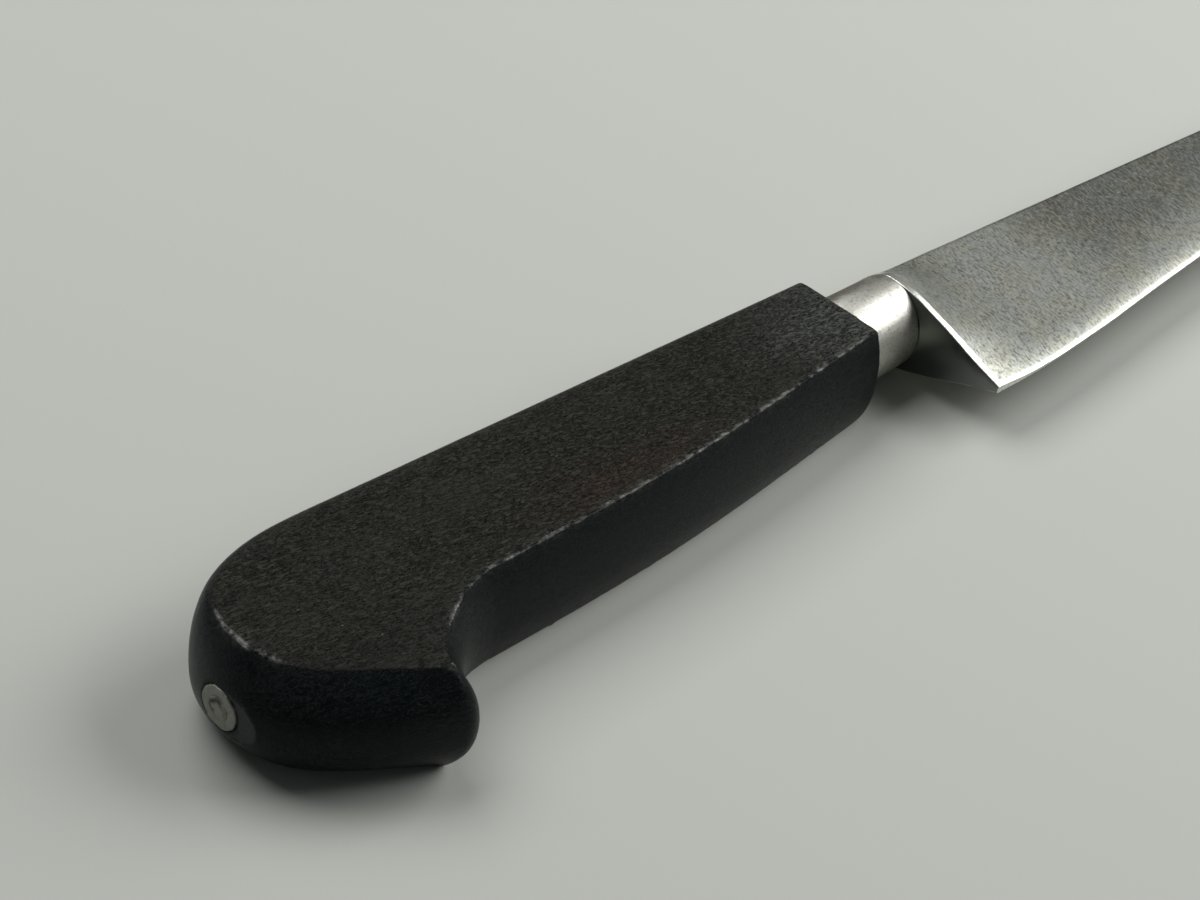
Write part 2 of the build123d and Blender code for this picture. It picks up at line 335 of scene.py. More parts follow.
def make_wood_material(settings):
    """Almost black oiled hardwood: wrinkled open grain on the flats with painted shade in its creases, smooth
    edge faces darkened by painted shade, rubbed edges with a painted highlight, and a painted reflection on
    the butt's end.
    """
    wood = Finish("dark_hardwood")
    blend = wood.blend
    grain = wood.cloud(1.0, 4.0, 0.6, 1.1, stretch=(1.35, 0.44, 0.44), turn=settings.grain_turn)
    mottle = wood.cloud(1.0, 3.0, 0.65, 0.6, stretch=(0.8, 0.42, 0.42), shift=(3.0, 8.0, 2.0))
    clouds = wood.cloud(0.085, 2.0, stretch=(1.8, 1.0, 1.0))
    flecks = wood.cloud(1.0, 2.0, stretch=(1.4, 0.7, 0.7), shift=(5.0, 2.0, 6.0))
    raised = grain * 0.5 + mottle * 0.5
    flats = blend(raised.step(0.42, 0.60), settings.dark_wood, settings.grey_wood)
    flats = blend(clouds.step(0.42, 0.66), flats, settings.smooth_wood)
    flats = blend(wood.oval_zone(HOOK_ZONE, clouds) * 0.5, flats, settings.dark_wood)
    flats = blend(flecks.step(0.72, 0.78), flats, settings.dry_wood)
    flats = blend(wood.oval_zone(RUBBED_ZONE, clouds) * raised.step(0.38, 0.56), flats, settings.worn_wood)
    flats = blend(wood.oval_zone(DRY_ZONE, clouds) * raised.step(0.36, 0.58), flats, settings.dry_wood)
    # Thin lines along the grain, pressed in and darkened with painted shade
    creases = grain.thin_lines(0.05) * mottle.step(0.68, 0.42)
    flats = blend(creases * 0.9, flats, settings.crease)
    flat = wood.attribute("flatness").step(0.80, 0.97)
    # Faces that turn sideways get the darker edge colour: partly smooth wood, partly painted shade
    sides = blend(raised.step(0.50, 0.70), settings.side_wood, settings.dark_wood)
    colour = blend(flat, sides, flats)
    # A painted reflection on the butt's rounded end faces, and the filed facet round the burr with its own
    # painted reflection
    butt_reflection = wood.oval_zone(BUTT_REFLECTION_ZONE, clouds) * (1.0 - flat)
    colour = blend(butt_reflection.larger(wood.attribute("facet")), colour, settings.facet_wood)
    wear_and_highlight_noise = wood.cloud(0.24, 6.0, 0.72, shift=(2.0, 5.0, 9.0))
    # Lighter wood beside the edges, where the wear and its painted highlight spread
    rubbed = wood.attribute("edge_halo") * wear_and_highlight_noise.step(0.40, 0.62) * raised.step(0.40, 0.60)
    colour = blend(rubbed * 0.7, colour, settings.dry_wood)
    # Pale edges: wear, with a painted highlight on the rounded rims
    wear_and_highlight = wood.attribute("edge_wear") * wear_and_highlight_noise.step(0.42, 0.60)
    colour = blend(wear_and_highlight, colour, settings.bare_edge)
    rough = flat.between(0.30, 0.52) + raised.between(0.10, -0.10)
    wood.shader.inputs["Specular IOR Level"].default_value = 0.12
    relief = (raised - creases * 0.35) * flat.between(0.20, 1.0)
    return wood.apply(base_color=colour, roughness=rough, normal=wood.bump(relief, 0.40))


def make_ferrule_material(settings):
    """Satin nickel silver with fine scratches round it, tarnished patches and darker brown towards the far
    side.
    """
    metal = Finish("nickel_silver")
    specks = metal.cloud(2.2, 5.0, 0.7)
    patches = metal.cloud(0.28, 4.0, 0.6)
    scratches = metal.cloud(1.0, 3.0, 0.6, stretch=(0.12, 2.6, 2.6))
    colour = metal.blend(specks.step(0.52, 0.70) * 0.7, settings.metal, settings.tarnish)
    # Darker brown towards the far side of the ferrule, broken by the patches
    side = Value(metal.tree, "SeparateXYZ", "Y", {"Vector": metal.place()})
    far_side_brown = (side + patches * 5.0).step(2.6, 6.0) * 0.95
    colour = metal.blend(far_side_brown.larger(patches.step(0.55, 0.85)), colour, settings.tarnish)
    metal.shader.inputs["Metallic"].default_value = 1.0
    rough = specks.between(0.26, 0.46) + patches.between(0.0, 0.12)
    relief = metal.bump(specks, 0.06, metal.bump(scratches, 0.012))
    return metal.apply(base_color=colour, roughness=rough, normal=relief)


def make_steel_material(settings):
    """Grey carbon steel: fine marks across it, pits, darker steel high on the blade towards the tip, bright
    edge and crest.
    """
    steel = Finish("forged_steel")
    blend = steel.blend
    marks = steel.cloud(1.0, 3.0, 0.62, 0.5, stretch=(0.20, 1.05, 0.6), turn=settings.mark_turn)
    specks = steel.cloud(1.0, 4.0, 0.70, 0.2, stretch=(0.42, 0.30, 0.30))
    pits = steel.cloud(1.0, 3.0, 0.6, stretch=(0.45, 1.1, 0.6), shift=(4.0, 1.0, 7.0))
    clouds = steel.cloud(0.07, 3.0, 0.55, stretch=(1.7, 1.0, 1.0))
    tints = steel.cloud(0.16, 3.0, 0.6, shift=(7.0, 3.0, 1.0))
    from_edge = steel.attribute("from_edge")
    from_heel = steel.attribute("from_heel")
    texture = marks * 0.6 + specks * 0.4
    colour = blend(texture.step(0.42, 0.58), settings.grey_steel, settings.bright_steel)
    dark_marks = texture.step(0.46, 0.38) * clouds.step(0.15, 0.5)
    colour = blend(dark_marks * 0.8, colour, settings.patina)
    # Darker steel towards the tip, high on the blade away from the edge, in the same dark colour as the pits
    far = (from_heel + clouds * 26.0).step(40.0, 62.0)
    high = (from_edge + specks * 3.0).step(4.0, 15.0)
    colour = blend(far * high * texture.step(0.80, 0.30) * 0.95, colour, settings.patina)
    colour = blend(pits.step(0.36, 0.28), colour, settings.patina)
    tint = blend(tints.step(0.38, 0.62), settings.cool_tint, settings.warm_tint)
    colour = blend(1.0, colour, tint, mode="MULTIPLY")
    rubbed = (from_edge + specks * 2.0).step(2.0, 1.2)
    crest = (from_heel + specks * 0.6).step(1.7, 1.3)
    polish = rubbed.larger(crest) * specks.step(0.30, 0.50)
    colour = blend(polish * 0.9, colour, settings.rubbed_steel)
    colour = blend(steel.attribute("heel_back"), colour, settings.back_steel)
    steel.shader.inputs["Metallic"].default_value = 1.0
    rough = polish.between(texture.between(0.52, 0.36), 0.28)
    return steel.apply(base_color=colour, roughness=rough, normal=steel.bump(texture, 0.035))


def make_burr_material(settings):
    """Hammered steel, darkened in its seams, dents and sunk sides by dirt and painted shade."""
    burr = Finish("burr_steel")
    specks = burr.cloud(3.0, 4.0, 0.6)
    sunk = burr.attribute("depth") + specks * 0.35
    colour = burr.blend(sunk.step(0.15, 1.05), settings.steel, settings.grime)
    burr.shader.inputs["Metallic"].default_value = 0.8
    rough = specks.between(0.50, 0.66)
    return burr.apply(base_color=colour, roughness=rough, normal=burr.bump(specks, 0.03))


def make_cement_material(settings):
    """Brown resin cement."""
    cement = Finish("cement")
    cement.shader.inputs["Roughness"].default_value = 0.8
    colour = cement.blend(cement.cloud(1.5, 4.0), settings.dark_cement, settings.pale_cement)
    return cement.apply(base_color=colour)


def select_only(piece):
    """Deselects everything else and makes the piece active."""
    bpy.ops.object.select_all(action="DESELECT")
    piece.select_set(True)
    bpy.context.view_layer.objects.active = piece


def edit(piece, mode, action):
    """Edit mode with all or none of the piece selected."""
    select_only(piece)
    bpy.ops.object.mode_set(mode="EDIT")
    bpy.ops.mesh.select_mode(type=mode)
    bpy.ops.mesh.select_all(action=action)


def leave_edit():
    """Back to object mode."""
    bpy.ops.object.mode_set(mode="OBJECT")


def add(operator, name, **settings):
    """Adds an object with nothing else selected, and names it."""
    bpy.ops.object.select_all(action="DESELECT")
    operator(**settings)
    made = bpy.context.object
    made.name = made.data.name = name
    return made


def copy_of_piece(piece, name):
    """A copy of a piece with its own mesh."""
    select_only(piece)
    bpy.ops.object.duplicate()
    copy = bpy.context.object
    copy.name = copy.data.name = name
    return copy


def copy_of_node(node, name):
    """A free copy of a CAD node's mesh, with its loose triangles merged."""
    piece = copy_of_piece(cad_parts[node], name)
    piece.parent = None
    for key in [key for key in piece.keys() if key.startswith("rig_")]:
        del piece[key]
    piece.data.materials.clear()
    edit(piece, "VERT", "SELECT")
    bpy.ops.mesh.remove_doubles(threshold=0.001 * MILLIMETRE)
    leave_edit()
    return piece


def edit_some(piece, mode, parts, wanted):
    """Edit mode with only those edges or faces selected that pass the test."""
    edit(piece, mode, "DESELECT")
    mesh = bmesh.from_edit_mesh(piece.data)
    for part in getattr(mesh, parts):
        part.select = wanted(part)
    bmesh.update_edit_mesh(piece.data)


def close_holes(piece):
    """Closes all the holes of a piece."""
    edit(piece, "EDGE", "DESELECT")
    bpy.ops.mesh.select_non_manifold()
    bpy.ops.mesh.fill_holes(sides=0)
    leave_edit()


def turn_faces_outwards(piece):
    """Turns all the faces of a piece outwards."""
    edit(piece, "EDGE", "SELECT")
    bpy.ops.mesh.normals_make_consistent(inside=False)
    leave_edit()


def apply_modifier(piece, kind, **settings):
    """Adds a modifier, sets it and applies it."""
    select_only(piece)
    modifier = piece.modifiers.new(kind.title(), kind)
    for name, value in settings.items():
        setattr(modifier, name, value)
    bpy.ops.object.modifier_apply(modifier=modifier.name)


def finish_piece(piece, material, node):
    """Gives a piece its material and its place in the frame, where it stands for a CAD node."""
    piece.data.materials.clear()
    piece.data.materials.append(material)
    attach(piece, BODY)
    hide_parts(node)


def vectors_of(piece, name):
    """The places or normals of a piece's vertices, one row each."""
    values = np.empty(len(piece.data.vertices) * 3)
    piece.data.vertices.foreach_get(name, values)
    return values.reshape(-1, 3)


def move_vertices(piece, places):
    """Puts each vertex at its new place."""
    piece.data.vertices.foreach_set("co", np.asarray(places).ravel())
    piece.data.update()


def keep_attribute(piece, name, values):
    """Stores one value on each vertex, for the materials."""
    layer = piece.data.attributes.new(name, "FLOAT", "POINT")
    layer.data.foreach_set("value", np.asarray(values, dtype=np.float32))


def press_pattern(piece, name, width, depth, group="", middle=0.5):
    """Presses a soft cloud pattern of a width into the surface, up to a depth."""
    texture = bpy.data.textures.new(name, "CLOUDS")
    texture.noise_scale = width
    texture.noise_depth = 2
    texture.contrast = 2.0
    apply_modifier(
        piece, "DISPLACE", texture=texture, texture_coords="OBJECT", vertex_group=group,
        strength=-depth, mid_level=middle,
    )


def round_rims(piece, width):
    """Rounds all the crisp edges of a piece."""
    apply_modifier(
        piece, "BEVEL", width=width, segments=3, limit_method="ANGLE", angle_limit=math.radians(60.0),
    )


def ramp(values, start, span):
    """Goes from 0 to 1 over a span of values."""
    return np.clip((values - start) / span, 0.0, 1.0)


def weigh_vertices(piece, name, weights):
    """Keeps weights above zero in a new vertex group."""
    group = piece.vertex_groups.new(name=name)
    for index in np.nonzero(weights > 0.0)[0]:
        group.add([int(index)], float(weights[index]), "REPLACE")


def edge_ends(piece):
    """First and second vertex of every edge."""
    ends = np.empty(len(piece.data.edges) * 2, dtype=int)
    piece.data.edges.foreach_get("vertices", ends)
    return ends.reshape(-1, 2).T


def spread_over(piece, values, rounds):
    """Values after rounds of averaging each vertex with its neighbours."""
    first, second = edge_ends(piece)
    count = len(values)
    shares = 1 + np.bincount(first, minlength=count) + np.bincount(second, minlength=count)
    for _ in range(rounds):
        gained = np.bincount(first, values[second], count) + np.bincount(second, values[first], count)
        values = (values + gained) / shares
    return values


def convexity(piece):
    """Places, and how far each vertex stands out from the mean of its neighbours, in edge lengths."""
    places = vectors_of(piece, "co")
    normals = vectors_of(piece, "normal")
    first, second = edge_ends(piece)
    run = places[second] - places[first]
    length = np.linalg.norm(run, axis=1)
    total = np.zeros(len(places))
    uses = np.zeros(len(places))
    for here, sign in ((first, -1.0), (second, 1.0)):
        np.add.at(total, here, sign * np.einsum("ij,ij->i", run, normals[here]) / length)
        np.add.at(uses, here, 1.0)
    return places, total / uses


def tang_line():
    """Place of the burr's middle, and the direction and distance from there along the tang to the heel."""
    burr_low, burr_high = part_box("butt_burr")
    ferrule_low, ferrule_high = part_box("ferrule")
    seat = (burr_low + burr_high) / 2
    run = Vector((ferrule_high.x, 0.0, (ferrule_low.z + ferrule_high.z) / 2)) - seat
    return seat, run.normalized(), run.length


class KNIFE_OT_handle(bpy.types.Operator):
    """Model the wooden handle with its worn edges"""
    bl_idname = "knife.handle"
    bl_label = "Handle"

    # Cosine of the most that a face on the filed facet turns away from it
    facet_squareness = 0.997

    # Least distance of the rounded shoulder from the ferrule's middle, and least drop below it, as shares
    # of the ferrule's half size
    ferrule_clearance = 1.08
    shoulder_drop = 0.5

    # Where each ramp of the wear and its painted highlight starts and how long it is: how far a vertex stands
    # out, in edge lengths; millimetres behind the shoulder, the burr and the hook's tip; and shares of the
    # hook's depth
    edge_ramp = (0.09, 0.03)
    shoulder_ramp = (2.0, 5.0)
    butt_ramp = (-6.0, 4.0)
    hook_ramp = (0.0, 2.0)
    low_edge_ramp = (0.46, 0.14)

    # How much of the wear and painted highlight the low edge behind the hook is spared, how far the burr
    # keeps them off, in millimetres, and the least wear and highlight that is nicked
    low_edge_spared = 0.9
    burr_reach = 5.0
    least_wear = 0.05

    # Rounds over which the wear and its painted highlight spread to the wood beside it, and how much
    # stronger they are drawn there
    halo_rounds = 10
    halo_strength = 4.0

    def execute(self, context):
        settings = context.scene.knife_handle
        form = copy_of_node("handle", "handle_form")
        self.close_bore(form)
        piece = copy_of_piece(form, "handle_wood")
        apply_modifier(piece, "REMESH", mode="VOXEL", voxel_size=settings.mesh_size, adaptivity=0.0)
        apply_modifier(piece, "SHRINKWRAP", target=form)
        select_only(form)
        bpy.ops.object.delete()
        apply_modifier(piece, "SMOOTH", factor=0.5, iterations=settings.edge_rounds)
        self.round_shoulder(piece, settings)
        self.mark_worn_edges(piece, settings)
        self.nick_edges(piece, settings)
        bpy.ops.object.shade_smooth()
        finish_piece(piece, make_wood_material(settings), "handle")
        return {"FINISHED"}

    def close_bore(self, piece):
        """Takes the hidden bore out of the copy and closes both its mouths."""
        low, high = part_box("butt_burr")
        seat, along, _ = tang_line()
        bore_radius = 5.1 * MILLIMETRE
        seat_depth = (high.x - low.x) / 2
        margin = 0.2 * MILLIMETRE

        def in_bore(face):
            middle = face.calc_center_median() - seat
            depth = middle.dot(along)
            return depth > seat_depth + margin and (middle - depth * along).length < bore_radius

        edit_some(piece, "FACE", "faces", in_bore)
        bpy.ops.mesh.delete(type="FACE")
        leave_edit()
        close_holes(piece)

    def round_shoulder(self, piece, settings):
        """Rounds the corner between the belly and the shoulder, clear of the ferrule."""
        low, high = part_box("ferrule")
        places = vectors_of(piece, "co")
        near = 1.0 - np.abs(places[:, 0] - low.x) / settings.shoulder_reach
        half = np.array(high - low) / 2
        off_axis = (places - np.array(high + low) / 2) / half
        clear = np.hypot(off_axis[:, 1], off_axis[:, 2]) > self.ferrule_clearance
        weigh_vertices(piece, "shoulder", near * (clear & (off_axis[:, 1] < -self.shoulder_drop)))
        apply_modifier(
            piece, "SMOOTH", factor=0.5, iterations=settings.shoulder_rounds, vertex_group="shoulder",
        )

    def mark_worn_edges(self, piece, settings):
        """Keeps each vertex's wear and painted highlight: most on the crisp outer edges, little on the butt's
        low one.
        """
        places, stands_out = convexity(piece)
        along, height, _ = places.T / MILLIMETRE
        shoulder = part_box("ferrule")[0].x / MILLIMETRE
        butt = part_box("butt_burr")[1].x / MILLIMETRE
        stands_out = spread_over(piece, stands_out, rounds=1)
        stands_out *= 1.0 + ramp(butt - along, *self.butt_ramp) * (height < 0.0)
        wear_and_highlight = ramp(stands_out, *self.edge_ramp)
        wear_and_highlight *= ramp(shoulder - along, *self.shoulder_ramp)
        flat = places[places[:, 2] > places[:, 2].max() - settings.mesh_size]
        hook_tip = flat[np.argmin(flat[:, 1])] / MILLIMETRE
        low_edge = ramp(hook_tip[0] - along, *self.hook_ramp)
        low_edge *= ramp(height / hook_tip[1], *self.low_edge_ramp)
        wear_and_highlight *= 1.0 - self.low_edge_spared * low_edge
        from_burr = np.linalg.norm(places - np.array(tang_line()[0]), axis=1)
        wear_and_highlight *= from_burr > self.burr_reach * MILLIMETRE
        halo = spread_over(piece, wear_and_highlight, self.halo_rounds) * self.halo_strength
        keep_attribute(piece, "edge_wear", wear_and_highlight)
        keep_attribute(piece, "edge_halo", np.clip(halo, 0.0, 1.0))
        keep_attribute(piece, "flatness", np.abs(vectors_of(piece, "normal")[:, 2]))
        keep_attribute(piece, "facet", self.on_facet(piece, places))
        weigh_vertices(piece, "worn_edges", np.where(wear_and_highlight > self.least_wear, wear_and_highlight, 0.0))

    def on_facet(self, piece, places):
        """Which vertices lie on the filed facet round the burr."""
        seat, along, _ = tang_line()
        square = vectors_of(piece, "normal") @ -np.array(along) > self.facet_squareness
        return square & (places[:, 0] < seat.x)

    def nick_edges(self, piece, settings):
        """Presses small nicks into the worn edges, and keeps the wood within its own box."""
        press_pattern(
            piece, "nicks", settings.nick_length, settings.nick_depth, group="worn_edges", middle=0.45,
        )
        low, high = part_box("handle")
        move_vertices(piece, np.clip(vectors_of(piece, "co"), np.array(low), np.array(high)))


class KNIFE_OT_ferrule(bpy.types.Operator):
    """Model the oval ferrule with its rounded rims and soft dents"""
    bl_idname = "knife.ferrule"
    bl_label = "Ferrule"

    sides = 180
    rings = 34

    def execute(self, context):
        settings = context.scene.knife_ferrule
        low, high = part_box("ferrule")
        piece = add(
            bpy.ops.mesh.primitive_cylinder_add, "ferrule_sleeve", vertices=self.sides, radius=1.0,
            depth=high.x - low.x, end_fill_type="NOTHING", location=((low.x + high.x) / 2, 0.0, 0.0),
            rotation=(0.0, math.pi / 2, 0.0),
        )
        bpy.ops.object.transform_apply(location=True, rotation=True, scale=True)
        edit(piece, "EDGE", "SELECT")
        bpy.ops.mesh.subdivide_edgering(number_cuts=self.rings, interpolation="LINEAR")
        leave_edit()
        self.shape_oval(piece, low, high, settings.flare)
        turn_faces_outwards(piece)
        apply_modifier(piece, "SOLIDIFY", thickness=settings.wall, offset=-1.0, use_even_offset=True)
        round_rims(piece, settings.rim_rounding)
        press_pattern(piece, "dents", settings.dent_width, settings.dent_depth, middle=0.3)
        bpy.ops.object.shade_smooth_by_angle(angle=math.radians(40.0))
        finish_piece(piece, make_ferrule_material(settings), "ferrule")
        return {"FINISHED"}

    def shape_oval(self, piece, low, high, flare):
        """Turns the unit circle into the ferrule's oval, deeper towards the handle."""
        places = vectors_of(piece, "co")
        along = (places[:, 0] - low.x) / (high.x - low.x)
        half_height = (high.y - low.y - flare * along) / 2
        places[:, 1] = high.y - half_height * (1.0 - places[:, 1])
        places[:, 2] = (low.z + high.z) / 2 + (high.z - low.z) / 2 * places[:, 2]
        move_vertices(piece, places)


# Stations along the cove and along the blade past it, and how far the edge has risen from the heel
COVE_SHARES = ((0.0, 0.0), (0.1, -0.003), (0.25, -0.006), (0.45, -0.003), (0.7, 0.010), (1.0, 0.036))
BLADE_SHARES = (
    (0.03, 0.067), (0.08, 0.136), (0.16, 0.238), (0.32, 0.395), (0.475, 0.527),
    (0.63, 0.647), (0.77, 0.762), (0.89, 0.876), (0.965, 0.957), (1.0, 1.0),
)

# Shape of the section: the convex bevel's height and thickness and the depth of the flank's widest place,
# as shares of the local blade, the powers of the bevel's and the cove's curves, and how much of the
# spine's rounding cuts its corner
BEVEL_HEIGHT_SHARE = 0.17
BEVEL_THICKNESS_SHARE = 0.42
BEVEL_POWER = 2.5
FLANK_DEPTH_SHARE = 0.3
FLANK_SHARES = (0.0, 0.33, 0.66, 1.0)
COVE_POWER = 2.6
CORNER_SHARE = 1.0 / 3.0

# Shape of the spine's fall
SPINE_STRAIGHT_SHARE = 0.34
SPINE_FALL_POWER = 6


def smooth_through(knots, values, wanted):
    """Values at the wanted places, on a smooth curve through the values at the knots."""
    slopes = np.gradient(values, knots)
    index = np.clip(np.searchsorted(knots, wanted, side="right") - 1, 0, len(knots) - 2)
    step_length = knots[index + 1] - knots[index]
    share = (wanted - knots[index]) / step_length
    rest = 1.0 - share
    ends = values[index] * rest**2 * (1.0 + 2.0 * share) + values[index + 1] * share**2 * (3.0 - 2.0 * share)
    bend = slopes[index] * share * rest**2 - slopes[index + 1] * share**2 * rest
    return ends + bend * step_length


class BladeForm:
    """Section of the forging at any distance in front of the heel's land."""

    def __init__(self, settings):
        self.sizes = settings
        low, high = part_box("ferrule")
        self.ferrule_half_thickness = (high.z - low.z) / 2
        flare = bpy.context.scene.knife_ferrule.flare
        self.ferrule_half_height = (high.y - low.y - flare) / 2
        self.ferrule_y = high.y - self.ferrule_half_height
        self.z_mid = (high.z + low.z) / 2
        self.x_land = high.x + settings.heel_land
        self.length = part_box("blade")[1].x - self.x_land
        cove = [(share * settings.cove_length, rise) for share, rise in COVE_SHARES]
        rest = self.length - settings.cove_length
        past = [(settings.cove_length + share * rest, rise) for share, rise in BLADE_SHARES]
        self.knots, self.rises = np.array(cove + past).T

    def spine_y(self, place):
        """Height of the spine at a share of the blade's length."""
        fall = SPINE_STRAIGHT_SHARE * place + (1.0 - SPINE_STRAIGHT_SHARE) * place**SPINE_FALL_POWER
        return self.sizes.spine_height - self.sizes.spine_fall * fall

    def edge_y(self, distance):
        """Height of the cutting edge."""
        rise = self.spine_y(1.0) - self.sizes.tip_height + self.sizes.heel_depth
        return -self.sizes.heel_depth + rise * smooth_through(self.knots, self.rises, distance)

    def flank_turn(self):
        """Turn, on the ferrule's oval, of the point whose tangent runs to the heel's tip."""
        along = -(self.sizes.heel_depth + self.ferrule_y) / self.ferrule_half_height
        across = self.sizes.heel_tip_thickness / 2 / self.ferrule_half_thickness
        tangent = math.atan2(1.0, math.sqrt(along**2 + across**2 - 1.0))
        return math.atan2(across, along) - math.pi / 2 + tangent

    def section(self, distance, flank_steps, bevel_steps):
        """Height and half thickness of points from the spine's middle round one side to the edge."""
        sizes = self.sizes
        distance = max(distance, 0.0)
        place = distance / self.length
        wedge = max(1.0 - distance / sizes.cove_length, 0.0) ** COVE_POWER
        top = self.spine_y(place)
        bottom = self.edge_y(distance)
        half = (sizes.root_thickness + (sizes.tip_thickness - sizes.root_thickness) * place) / 2
        height = top - bottom
        y_bevel = bottom + BEVEL_HEIGHT_SHARE * height
        plain_bevel = BEVEL_THICKNESS_SHARE * half
        last = self.flank_turn()
        wide = self.ferrule_half_thickness
        first = math.pi / 2 - math.atan2(math.sqrt(wide**2 - half**2), half)
        flank = []
        for share in FLANK_SHARES:
            turn = first + share * (last - first)
            y_oval = self.ferrule_half_height * math.cos(turn) + self.ferrule_y if share else top
            y_blade = top - share * FLANK_DEPTH_SHARE * height
            y = y_blade + wedge * (y_oval - y_blade)
            plain = half + (plain_bevel - half) * (top - y) / (top - y_bevel)
            flank.append((y, plain + wedge * (max(half, wide * math.sin(turn)) - plain)))
        y_wide, wide_half = flank[-1]
        tip_half = sizes.heel_tip_thickness / 2
        span = (y_bevel - bottom) / (y_wide - bottom)
        wedge_bevel = tip_half + (wide * math.sin(last) - tip_half) * span
        bevel_half = plain_bevel + wedge * (wedge_bevel - plain_bevel)
        edge_half = sizes.edge_thickness / 2 + wedge * (tip_half - sizes.edge_thickness / 2)
        flank.append(((y_wide + y_bevel) / 2, (wide_half + bevel_half) / 2 + wedge * sizes.heel_bulge))
        flank.append((y_bevel, bevel_half))
        corner = sizes.corner_rounding
        knots = np.array(flank)
        run = np.concatenate(([0.0], np.cumsum(np.hypot(*np.diff(knots, axis=0).T))))
        wanted = corner + (run[-1] - corner) * np.linspace(0.0, 1.0, flank_steps + 1)
        side = np.column_stack([smooth_through(run, column, wanted) for column in knots.T])
        slope = (half - plain_bevel) / (top - y_bevel)
        fullness = plain_bevel - sizes.edge_thickness / 2 - slope * (y_bevel - bottom)
        fullness = (1.0 - wedge) * max(fullness, 0.0)
        share = 1.0 - np.linspace(0.0, 1.0, bevel_steps + 1)[1:]
        swell = fullness * (1.0 - share - (1.0 - share) ** BEVEL_POWER)
        bevel = np.column_stack((
            bottom + (y_bevel - bottom) * share,
            edge_half + (bevel_half - edge_half) * share + swell,
        ))
        cut = corner * CORNER_SHARE
        spine = ((top, 0.0), (top, half - corner), (top - cut, half - cut))
        return np.vstack((spine, side, bevel, ((bottom, 0.0),)))


class KNIFE_OT_blade(bpy.types.Operator):
    """Model the forged blade with its heel"""
    bl_idname = "knife.blade"
    bl_label = "Blade"

    land_steps = 4
    cove_steps = 56
    plain_steps = 190
    flank_steps = 40
    bevel_steps = 16

    # Steps of a section that lie on the spine, before the flank, and across the cutting edge
    end_steps = 4

    # Power that crowds the stations towards the heel
    cove_crowding = 1.2

    def execute(self, context):
        settings = context.scene.knife_blade
        form = BladeForm(settings)
        rows = self.land_steps + self.cove_steps + self.plain_steps
        columns = self.flank_steps + self.bevel_steps + self.end_steps
        piece = add(
            bpy.ops.mesh.primitive_grid_add, "blade_forging", x_subdivisions=rows,
            y_subdivisions=columns, size=1.0,
        )
        self.shape_side(piece, form, rows, columns)
        apply_modifier(
            piece, "MIRROR", use_axis=(False, False, True), use_mirror_merge=True,
            merge_threshold=0.005 * MILLIMETRE,
        )
        close_holes(piece)
        turn_faces_outwards(piece)
        self.round_crest(piece, settings)
        press_pattern(piece, "forging_waves", settings.wave_width, settings.wave_depth)
        places = vectors_of(piece, "co")
        places[:, 2] += form.z_mid
        x_tip = form.x_land + form.length
        places[:, 0] = np.clip(places[:, 0], form.x_land - settings.heel_land, x_tip)
        move_vertices(piece, places)
        self.mark_places(piece, form)
        select_only(piece)
        bpy.ops.object.shade_smooth_by_angle(angle=math.radians(35.0))
        finish_piece(piece, make_steel_material(settings), "blade")
        return {"FINISHED"}

    def stations(self, form):
        """Distances along the blade, closer together in the cove."""
        sizes = form.sizes
        land = np.linspace(-sizes.heel_land, 0.0, self.land_steps + 1)[:-1]
        cove = sizes.cove_length * np.linspace(0.0, 1.0, self.cove_steps + 1)[:-1] ** self.cove_crowding
        plain = np.linspace(sizes.cove_length, form.length, self.plain_steps + 1)
        return np.concatenate((land, cove, plain))

    def shape_side(self, piece, form, rows, columns):
        """Wraps the flat grid round the upper side of the blade."""
        distances = self.stations(form)
        sections = np.array([form.section(d, self.flank_steps, self.bevel_steps) for d in distances])
        places = vectors_of(piece, "co")
        row = np.rint((places[:, 0] + 0.5) * rows).astype(int)
        column = np.rint((places[:, 1] + 0.5) * columns).astype(int)
        points = sections[row, column]
        move_vertices(piece, np.column_stack((form.x_land + distances[row], points)))

    def round_crest(self, piece, settings):
        """Breaks the edges round the heel's back and along the front of its land."""
        x_back = min(vertex.co.x for vertex in piece.data.vertices)
        near = 0.01 * MILLIMETRE
        x_land = x_back + settings.heel_land

        def on_crest(edge):
            ends = [vertex.co.x for vertex in edge.verts]
            at_back = max(ends) < x_back + near
            at_land = max(abs(x - x_land) for x in ends) < near
            return at_back or at_land

        edit_some(piece, "EDGE", "edges", on_crest)
        bpy.ops.mesh.bevel(offset=settings.crest_rounding, offset_type="OFFSET", segments=2, profile=0.5)
        leave_edit()

    def mark_places(self, piece, form):
        """Keeps each vertex's distance from the edge and from the heel, and which ones are on its back."""
        places = vectors_of(piece, "co")
        distance = places[:, 0] - form.x_land
        from_edge = places[:, 1] - form.edge_y(np.clip(distance, 0.0, form.length))
        from_heel = distance + form.sizes.heel_land
        back_reach = 0.03 * MILLIMETRE
        keep_attribute(piece, "from_edge", from_edge / MILLIMETRE)
        keep_attribute(piece, "from_heel", from_heel / MILLIMETRE)
        keep_attribute(piece, "heel_back", from_heel < back_reach)


